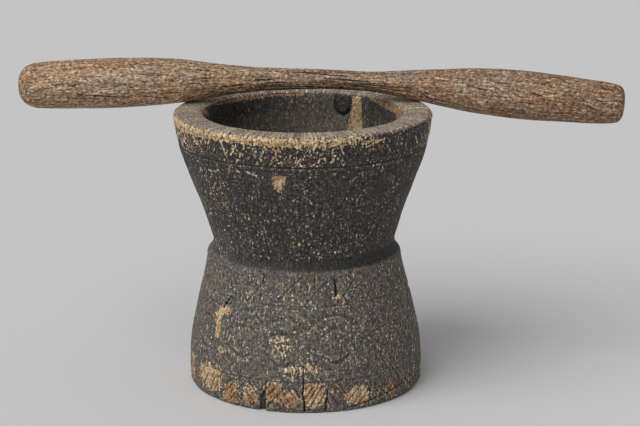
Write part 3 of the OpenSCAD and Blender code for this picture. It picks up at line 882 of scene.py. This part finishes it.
ker = np.array([1, 2, 3, 4, 5, 6, 5, 4, 3, 2, 1.0])
ker /= ker.sum()
mid = (pu > 30) & (pu < PL - 24)
pr = np.where(mid, np.convolve(np.pad(pr, 5, "edge"), ker, "valid"), pr) * pf
p_ang = np.arange(PN) / PN * 2 * np.pi
U, A = (g.ravel() for g in np.meshgrid(pu, p_ang, indexing="ij"))
RR = np.repeat(pr[:, None], PN, 1).ravel() * (1 + .012 * np.cos(3 * A + math.radians(40)))
at_end = np.repeat((pf < 1)[:, None], PN, 1).ravel()


def arm(x):
    return np.hypot(x - 40, 92.0)


def axis_z(x):
    return TOP_Z + 43.0 - .035 * (x - 40) - .0653 * arm(x)


def axis_tilt(x):
    return np.arctan(-.035 - .0653 * (x - 40) / arm(x))


def on_pestle(px, py):
    """Distance from the left end, and angle round the axis, of the pestle's point seen at a pixel."""
    start, way = ray(px, py)
    t = np.linspace(2.9, 3.4, 2501)
    p = (start + t[:, None] * way) * 1000
    dy, dz = p[:, 1] - PBACK, (p[:, 2] - axis_z(p[:, 0])) * np.cos(axis_tilt(p[:, 0]))
    hit = np.hypot(dy, dz) < np.interp(p[:, 0] + PLEFT, PCURVE[:, 0], PCURVE[:, 1])
    k = np.argmax(hit)
    return p[k, 0] + PLEFT, math.atan2(dz[k], dy[k]) % (2 * math.pi)


PSHAPE = (len(p_rows), PN)
p_split = np.zeros(PSHAPE, F32)


def p_stroke(target, points, width, depth):
    """A split along the pestle through points (distance from the left end, angle)."""
    pts = np.array(points, float)
    n = len(pts) - 1
    for i in range(n):
        (u0, a0), (u1, a1) = pts[i], pts[i + 1]
        r = np.interp((u0 + u1) / 2, PCURVE[:, 0], PCURVE[:, 1])
        i0, i1 = np.searchsorted(pu[5:-5], [min(u0, u1) - width, max(u0, u1) + width]) + 5
        x = (pu[i0:i1] - u0)[:, None]
        y = ((p_ang - a0 + math.pi) % (2 * math.pi) - math.pi)[None, :] * r
        dx, dy = u1 - u0, ((a1 - a0 + math.pi) % (2 * math.pi) - math.pi) * r
        t = np.clip((x * dx + y * dy) / (dx * dx + dy * dy + 1e-9), 0, 1)
        d = np.hypot(x - t * dx, y - t * dy)
        along = (i + t) / n
        size = np.sin(np.pi * np.clip(along, .03, .97)) ** .5
        q = np.clip(1 - d / (width / 2 * size), 0, 1)
        target[i0:i1] = np.maximum(target[i0:i1], depth * size * np.sqrt(q * (2 - q)))


for p, w_, d_ in ((((50.5, 84.6), (56, 84.2), (61.6, 84.4)), 1.9, 3.0), (((66.6, 85.2), (72, 85.5), (77, 85.4)), 1.9, 3.0),
                  (((80.6, 94.4), (100, 95.4), (118, 96.6), (136, 96.2)), 1.9, 2.4), (((138, 73.6), (150, 74.2), (162, 74)), 1.5, 1.2),
                  (((98, 87), (110, 86.2)), 1.6, 1.4), (((140, 95.5), (160, 97.5), (180, 97.5)), 1.8, 2.0),
                  (((232, 92), (246, 90.4), (262, 87.8)), 2.0, 2.2), (((266, 82.6), (276, 81.8), (288, 81.4)), 1.8, 2.0),
                  (((268, 86), (281, 86.2), (295, 85.2)), 1.8, 2.2), (((292, 85.4), (306, 86.2), (322, 86.8), (334, 87)), 2.0, 2.6),
                  (((300, 82), (316, 81.6), (330, 82.4)), 1.4, 1.3), (((338, 84), (356, 85.4), (372, 86.2)), 1.8, 2.2),
                  (((352, 89), (366, 90), (380, 91)), 1.8, 2.0), (((366, 86), (384, 88.2), (400, 90.5), (416, 92)), 2.0, 2.4),
                  (((380, 85), (398, 86.8), (414, 87.2)), 1.6, 1.6), (((388, 93.6), (404, 95), (420, 97)), 1.8, 2.0),
                  (((464.6, 84.3), (471.5, 86), (478, 88), (485.4, 89.5), (495, 89.6)), 1.9, 2.2),
                  (((429, 76.2), (440, 75.6), (452, 76)), 1.5, 1.2), (((532, 92.5), (537, 94.5), (543, 95.8)), 2.6, 2.2),
                  (((510, 100), (528, 103), (546, 105)), 1.6, 1.2), (((560, 84), (572, 88), (584, 90)), 1.6, 1.0),
                  (((300, 72), (318, 73.4), (334, 74.6), (352, 75.6)), 2.0, 1.6), (((592, 98), (600, 101), (606, 101)), 2.2, 1.8),
                  (((420, 101), (440, 103.5), (462, 107)), 1.5, 1.3), (((196, 60.8), (214, 62.6), (230, 64)), 1.6, 1.4)):
    p_stroke(p_split, [on_pestle(x, y) for x, y in p], w_, d_)
rp = np.random.RandomState(77)
for k in range(170):
    u, ang = rp.uniform(15, 960), rp.uniform(0, 2 * math.pi)
    near = math.exp(-((u - 480) / 170) ** 2)
    if rp.rand() > .35 + .65 * near:
        continue
    ll = rp.uniform(12, 40) * (1 + 1.6 * near)
    p_stroke(p_split, [(u, ang), (u + ll / 2, ang + rp.normal() * .03), (u + ll, ang + rp.normal() * .05)],
             rp.uniform(1.1, 1.9), rp.uniform(.6, 1.6) * (1 + .5 * near))

LOC = np.c_[U, RR * np.cos(A), RR * np.sin(A)]
hewn = fbm(np.c_[U / 260, np.cos(A) * .9, np.sin(A) * .9], 1.0, 1, seed=26)
n_sides = 11
turn = A * n_sides + 4.4 * hewn + U / 160
facets = (1 / np.cos(((turn % (2 * np.pi)) - np.pi) / n_sides) - 1) / (1 / math.cos(math.pi / n_sides) - 1)
pg1 = fbm(LOC, (60, 4.6, 4.6), 3, .6, seed=21)
pg2 = fbm(LOC, (9, 2.8, 2.8), 2, .6, seed=22)
psp = fbm(LOC, (5, 3.4, 3.4), 2, .6, seed=23)
plow = fbm(LOC, (110, 50, 50), 2, .5, seed=24)
ppit = np.clip(fbm(LOC, (9, 5, 5), 2, .6, seed=27) - .42, 0, 1)
grip = between(U, 330, 640, 90)
sp = p_split.ravel()
h = plow * 1.3 + (facets - .5) * RR * .018 + pg1 * (.34 + .45 * grip) + pg2 * .26 + psp * .22 - ppit * 2.2 - sp
h = h * np.where(at_end, 0, 1)
x_ = U - PLEFT
tilt = axis_tilt(x_)
rr = RR + h
Q = np.c_[x_ - rr * np.sin(A) * np.sin(tilt), PBACK + rr * np.cos(A), axis_z(x_) + rr * np.sin(A) * np.cos(tilt)]
Q[:, 0] += np.where(at_end, np.where(U < 10, -1, 1) * (psp * .5 + pg2 * .4) * np.clip(1.3 - RR / 22, 0, 1), 0)


def pestle_under(x, y):
    """Height of the pestle's underside over points x, y, and whether it is over them."""
    t = axis_tilt(x)
    xa = x - 40 * np.sin(t)
    i = np.clip(np.searchsorted(u_side, xa + PLEFT), 0, len(u_side) - 1) + len(end_a)
    c = (y - PBACK) / pr[i]
    j = np.round((2 * np.pi - np.arccos(np.clip(c, -1, 1))) / (2 * np.pi) * PN).astype(int) % PN
    r = rr.reshape(PSHAPE)[i, j]
    return axis_z(xa) - np.sqrt(np.maximum(r * r - (y - PBACK) ** 2, 0)) * np.cos(t), np.abs(c) < .93


# seat the pestle on the rim: leave a fifth of a millimetre at either side
places, gaps = [], []
for side in (-1, 1):
    m = (outer > 0) & (Z0 > 430) & (side * P[:, 0] > 120) & (np.abs(P[:, 1] - PBACK) < 45)
    zz, over = pestle_under(P[m, 0], P[m, 1])
    g = np.where(over, zz - P[m, 2], 99)
    gaps.append(float(g.min()))
    places.append(float(P[m, 0][np.argmin(g)]))
print("gaps to the rim before seating, mm:", [round(g, 2) for g in gaps], "at x", [round(p, 1) for p in places])
Q[:, 2] -= gaps[0] - .2 + (gaps[1] - gaps[0]) / (places[1] - places[0]) * (Q[:, 0] - places[0])

p_px, p_py = project(Q)
p_face = (np.cos(A) < .35).astype(F32)


def p_spot(px, py, rx, ry, soft=.5):
    d = np.hypot((p_px - px) / rx, (p_py - py) / ry)
    return ((1 - smooth(d, 1 - soft, 1 + soft)) * p_face).astype(F32)


p_light = .50 + .30 * (1 - smooth(U, 330, 520)) - .12 * smooth(U, 620, 900) - .30 * smooth(U, 900, 985) - .25 * (1 - smooth(U, 0, 40))
p_light = p_light + .25 * p_spot(268, 74, 20, 6) + .25 * p_spot(421, 82, 11, 8) + .22 * p_spot(548, 91, 18, 9) + .2 * p_spot(45, 80, 25, 14)
p_light = p_light - .30 * p_spot(330, 71.5, 27, 3.2, .4) - .20 * p_spot(566, 90, 12, 8) - .18 * p_spot(300, 87.5, 60, 3, .4)
p_light = np.clip(p_light + fbm(LOC, (70, 26, 26), 3, seed=41) * .28, 0, 1).astype(F32)
p_grey = np.clip(.18 + .45 * p_spot(105, 84, 24, 11, .6) + .35 * p_spot(148, 78, 14, 12, .6) + .35 * p_spot(186, 74, 12, 10, .6)
                 + .5 * p_spot(405, 76, 14, 6, .6) + .4 * p_spot(500, 82, 16, 12, .6) + .35 * p_spot(290, 78, 40, 8, .6)
                 + .35 * p_spot(470, 88, 16, 12, .6) + .45 * fbm(LOC, (60, 24, 24), 2, seed=42), 0, 1).astype(F32)
p_red = np.clip(.15 + .30 * smooth(U, 560, 760) + .25 * p_spot(30, 78, 16, 20, .5) + .4 * p_spot(343, 85, 10, 5, .6)
                + .45 * p_spot(448, 95, 9, 5, .6) + .45 * p_spot(421, 84, 10, 7, .6) + .3 * p_spot(210, 90, 28, 5, .6)
                + .5 * fbm(LOC, (50, 20, 20), 2, seed=43), 0, 1).astype(F32)

faces, sizes, uvs = [], [], []
j = np.arange(PN)
k = j + 1
ps = np.r_[0, np.cumsum(np.hypot(np.diff(pu), np.diff(pr)))]
half_way = int(np.searchsorted(ps, ps[-1] / 2))
for i in range(len(p_rows) - 1):
    a0, b0 = i * PN, (i + 1) * PN
    quad = np.stack([a0 + j, b0 + j, b0 + k % PN, a0 + k % PN], 1)
    off, base = (.003, 0.0) if i < half_way else (.503, ps[half_way])
    va, vb = (ps[i] - base) / (ps[-1] * .504) + .002, (ps[i + 1] - base) / (ps[-1] * .504) + .002
    u0, u1 = j / PN * .494 + off, k / PN * .494 + off
    uv = np.stack([np.stack([u0, np.full(PN, va)], -1), np.stack([u0, np.full(PN, vb)], -1),
                   np.stack([u1, np.full(PN, vb)], -1), np.stack([u1, np.full(PN, va)], -1)], 1)
    faces.append(quad.ravel())
    sizes.append(np.full(PN, 4))
    uvs.append(uv.reshape(-1, 2))
pestle = make_mesh("pestle_hewn", Q / 1000, np.concatenate(faces), np.concatenate(sizes), np.concatenate(uvs),
                   {"grain": LOC / 1000, "split": np.clip(sp / 1.2, 0, 1), "light": p_light, "grey": p_grey, "red": p_red})
bm = bmesh.new()
bm.from_mesh(pestle.data)
bm.verts.ensure_lookup_table()
ends = [bm.verts[i] for i in list(range(PN)) + list(range((len(p_rows) - 1) * PN, len(p_rows) * PN))]
bmesh.ops.remove_doubles(bm, verts=ends, dist=.0004)
bm.to_mesh(pestle.data)
bm.free()
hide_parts("pestle")
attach(pestle, "pestle")


# ================================================================ materials
class Nodes:
    """Short names for building a node tree."""

    def __init__(self, name):
        self.m = bpy.data.materials.new(name)
        self.m.use_nodes = True
        self.t = self.m.node_tree
        self.t.nodes.clear()
        self.out = self.t.nodes.new("ShaderNodeOutputMaterial")
        self.bsdf = self.t.nodes.new("ShaderNodeBsdfPrincipled")
        self.t.links.new(self.bsdf.outputs[0], self.out.inputs[0])

    def link(self, value, socket):
        if hasattr(value, "is_output"):
            self.t.links.new(value, socket)
        elif isinstance(value, (tuple, list)) and len(value) == 3 and socket.type == "RGBA":
            socket.default_value = (*value, 1)
        else:
            socket.default_value = value

    def attr(self, name, vector=False):
        n = self.t.nodes.new("ShaderNodeAttribute")
        n.attribute_name = name
        return n.outputs["Vector" if vector else "Fac"]

    def scaled(self, vector, scale):
        n = self.t.nodes.new("ShaderNodeMapping")
        self.link(vector, n.inputs["Vector"])
        n.inputs["Scale"].default_value = scale
        return n.outputs[0]

    def noise(self, vector, scale, detail=3.0, rough=.6, distortion=0.0):
        n = self.t.nodes.new("ShaderNodeTexNoise")
        self.link(vector, n.inputs["Vector"])
        n.inputs["Scale"].default_value = scale
        n.inputs["Detail"].default_value = detail
        n.inputs["Roughness"].default_value = rough
        n.inputs["Distortion"].default_value = distortion
        return n.outputs[0]

    def math(self, op, a, b=0.0, clamp=False):
        n = self.t.nodes.new("ShaderNodeMath")
        n.operation = op
        n.use_clamp = clamp
        self.link(a, n.inputs[0])
        self.link(b, n.inputs[1])
        return n.outputs[0]

    def mix(self, fac, a, b, blend="MIX"):
        n = self.t.nodes.new("ShaderNodeMix")
        n.data_type = "RGBA"
        n.blend_type = blend
        self.link(fac, n.inputs[0])
        self.link(a, n.inputs[6])
        self.link(b, n.inputs[7])
        return n.outputs[2]

    def range(self, value, lo, hi, a=0.0, b=1.0):
        n = self.t.nodes.new("ShaderNodeMapRange")
        n.clamp = True
        self.link(value, n.inputs["Value"])
        n.inputs["From Min"].default_value = lo
        n.inputs["From Max"].default_value = hi
        n.inputs["To Min"].default_value = a
        n.inputs["To Max"].default_value = b
        return n.outputs[0]

    def ramp(self, fac, stops):
        n = self.t.nodes.new("ShaderNodeValToRGB")
        e = n.color_ramp.elements
        for el, (pos, col) in ((e[0], stops[0]), (e[1], stops[-1])):
            el.position = pos
            el.color = (*col, 1)
        for pos, col in stops[1:-1]:
            e.new(pos).color = (*col, 1)
        self.link(fac, n.inputs[0])
        return n.outputs[0]

    def bump(self, height, distance, strength=1.0):
        n = self.t.nodes.new("ShaderNodeBump")
        n.inputs["Strength"].default_value = strength
        n.inputs["Distance"].default_value = distance
        self.link(height, n.inputs["Height"])
        return n.outputs[0]


def mortar_material():
    k = Nodes("carved_black_wood")
    g = k.attr("grain", True)
    obj = k.t.nodes.new("ShaderNodeTexCoord").outputs["Object"]
    dots = k.noise(obj, 300, 1.5, .6)
    grit = k.noise(k.scaled(g, (1, 1, .45)), 330, 2, .7)
    streak = k.noise(k.scaled(g, (1, 1, .10)), 260, 2, .6)
    cloud = k.noise(obj, 24, 3, .55)
    cloud2 = k.noise(k.scaled(obj, (1, 1, .6)), 60, 3, .6)
    n = k.math("ADD", k.math("MULTIPLY", dots, .45), k.math("ADD", k.math("MULTIPLY", grit, .40), k.math("MULTIPLY", streak, .15)))
    n = k.range(n, .36, .64)
    # convex edges lighter and hollows darker: partly wear and dirt, partly painted highlight and painted shade
    n = k.math("ADD", n, k.math("MULTIPLY", k.attr("relief_wear_and_shading"), .14), True)

    charcoal = k.ramp(n, [(0, (.006, .006, .006)), (.30, (.020, .019, .018)), (.55, (.046, .043, .040)), (.75, (.085, .074, .062)),
                          (1, (.30, .23, .16))])
    soft_black = k.ramp(n, [(0, (.004, .004, .004)), (.5, (.020, .019, .019)), (1, (.065, .060, .055))])
    brown = k.ramp(n, [(0, (.018, .016, .013)), (.28, (.060, .050, .040)), (.55, (.115, .098, .078)), (.78, (.19, .162, .128)),
                       (1, (.40, .34, .26))])
    cool = k.ramp(n, [(0, (.016, .017, .018)), (.3, (.050, .052, .053)), (.6, (.098, .099, .096)), (1, (.26, .25, .23))])
    brown = k.mix(k.range(cloud2, .46, .66), brown, cool)
    tan = k.ramp(n, [(0, (.055, .032, .016)), (.25, (.23, .145, .075)), (.5, (.44, .30, .165)), (.75, (.62, .45, .27)), (1, (.85, .70, .50))])
    rust = k.ramp(n, [(0, (.035, .018, .010)), (.3, (.13, .068, .034)), (.55, (.27, .145, .075)), (.8, (.43, .26, .14)), (1, (.70, .48, .30))])
    pale = k.ramp(n, [(0, (.035, .028, .022)), (.25, (.13, .105, .080)), (.5, (.26, .21, .155)), (.75, (.46, .38, .28)), (1, (.85, .76, .62))])
    dusty = k.ramp(n, [(0, (.040, .033, .027)), (.4, (.105, .090, .072)), (.7, (.165, .14, .112)), (1, (.34, .28, .21))])

    col = k.mix(k.attr("tone"), charcoal, brown)
    inner = k.mix(k.attr("dust"), charcoal, dusty)
    # towards near black: the dark knot and its ring, and painted shade on the inner wall at the left
    inner = k.mix(k.attr("knot_dark_and_painted_shade"), inner, soft_black)
    col = k.mix(k.attr("inside"), col, inner)
    col = k.mix(k.attr("pale"), col, pale)
    # bare wood: the mask says where it is likely, the noise where exactly
    edge = k.math("ADD", k.math("MULTIPLY", k.math("SUBTRACT", dots, .5), 1.5), k.math("MULTIPLY", k.math("SUBTRACT", grit, .5), 1.3))
    edge = k.math("ADD", edge, k.math("MULTIPLY", k.math("SUBTRACT", cloud2, .5), .8))
    bare = k.range(k.math("ADD", k.attr("worn"), edge), .42, .62)
    wood = k.mix(k.range(k.math("ADD", k.attr("rust"), k.math("SUBTRACT", cloud, .5)), .3, .8), tan, rust)
    col = k.mix(bare, col, wood)
    bare_in = k.range(k.math("ADD", k.attr("rust_in"), k.math("MULTIPLY", edge, .8)), .40, .62)
    col = k.mix(bare_in, col, rust)
    strip = k.range(k.math("ADD", k.attr("tan_in"), k.math("MULTIPLY", edge, .35)), .35, .65)
    col = k.mix(strip, col, tan)
    # mixed towards near black: soot and dirt, with painted shade in cuts and cracks and painted shadow under the bowl
    # at the neck
    dark = k.range(k.math("ADD", k.attr("soot_and_painted_shade"), k.math("MULTIPLY", edge, .30)), .25, .80, 0, .93)
    col = k.mix(dark, col, soft_black)
    k.link(col, k.bsdf.inputs["Base Color"])
    k.link(k.range(n, 0, 1, .60, .88), k.bsdf.inputs["Roughness"])
    k.bsdf.inputs["Specular IOR Level"].default_value = .35
    hgt = k.math("ADD", k.math("MULTIPLY", dots, .6), k.math("ADD", grit, k.math("MULTIPLY", streak, .4)))
    k.link(k.bump(hgt, .0011, .75), k.bsdf.inputs["Normal"])
    return k.m


def pestle_material():
    k = Nodes("hewn_brown_wood")
    g = k.attr("grain", True)
    dots = k.noise(k.scaled(g, (.75, 1, 1)), 300, 1.5, .6)
    grit = k.noise(k.scaled(g, (.40, 1, 1)), 330, 2, .7, .4)
    streak = k.noise(k.scaled(g, (.07, 1, 1)), 260, 2, .65)
    n = k.math("ADD", k.math("MULTIPLY", dots, .38), k.math("ADD", k.math("MULTIPLY", grit, .38), k.math("MULTIPLY", streak, .24)))
    n = k.range(n, .36, .64)
    light = k.ramp(n, [(0, (.040, .020, .010)), (.25, (.165, .088, .042)), (.5, (.37, .225, .120)), (.75, (.56, .39, .235)), (1, (.85, .68, .48))])
    deep = k.ramp(n, [(0, (.018, .009, .005)), (.3, (.080, .042, .022)), (.55, (.185, .105, .058)), (.8, (.33, .215, .13)), (1, (.62, .46, .32))])
    grey = k.ramp(n, [(0, (.030, .024, .019)), (.3, (.13, .108, .085)), (.6, (.29, .245, .195)), (1, (.66, .58, .48))])
    red = k.ramp(n, [(0, (.028, .011, .006)), (.3, (.12, .050, .024)), (.6, (.27, .125, .062)), (1, (.66, .42, .25))])
    col = k.mix(k.attr("light"), deep, light)
    col = k.mix(k.math("MULTIPLY", k.attr("red"), .55), col, red)
    col = k.mix(k.math("MULTIPLY", k.attr("grey"), .8), col, grey)
    col = k.mix(k.range(k.attr("split"), .15, .8), col, (.012, .008, .006))
    k.link(col, k.bsdf.inputs["Base Color"])
    k.link(k.range(n, 0, 1, .58, .86), k.bsdf.inputs["Roughness"])
    k.bsdf.inputs["Specular IOR Level"].default_value = .35
    hgt = k.math("ADD", k.math("MULTIPLY", dots, .6), k.math("ADD", grit, k.math("MULTIPLY", streak, .6)))
    k.link(k.bump(hgt, .0011, .75), k.bsdf.inputs["Normal"])
    return k.m


mortar.data.materials.append(mortar_material())
pestle.data.materials.append(pestle_material())

# ================================================================ floor and light
k = Nodes("floor_paper")
k.bsdf.inputs["Base Color"].default_value = (.64, .64, .645, 1)
k.bsdf.inputs["Roughness"].default_value = .9
k.bsdf.inputs["Specular IOR Level"].default_value = .1
me = bpy.data.meshes.new("floor")
me.from_pydata([(40 * math.cos(i / 96 * 2 * math.pi), 40 * math.sin(i / 96 * 2 * math.pi), 0) for i in range(96)], [],
               [list(range(96))])
floor = bpy.data.objects.new("floor", me)
floor.data.materials.append(k.m)
bpy.context.scene.collection.objects.link(floor)

world = bpy.data.worlds.new("studio")
bpy.context.scene.world = world
world.use_nodes = True
bg = world.node_tree.nodes["Background"]
bg.inputs[0].default_value = (1, 1, 1, 1)
bg.inputs[1].default_value = .36


def sun(name, azimuth, elevation, strength, angle, colour=(1, 1, 1)):
    """A soft light from far away. azimuth 0 is straight in front of the object, 90 its right."""
    d = bpy.data.lights.new(name, "SUN")
    d.energy, d.angle, d.color = strength, math.radians(angle), colour
    o = bpy.data.objects.new(name, d)
    o.rotation_euler = (math.radians(90 - elevation), 0, math.radians(azimuth))
    bpy.context.scene.collection.objects.link(o)
    return o


sun("key", -50, 46, 1.9, 50)
sun("front", -10, 30, .45, 60)

view = bpy.context.scene.view_settings
view.view_transform = "Standard"
view.look = "None"
view.exposure = 0.0
view.gamma = 1.0
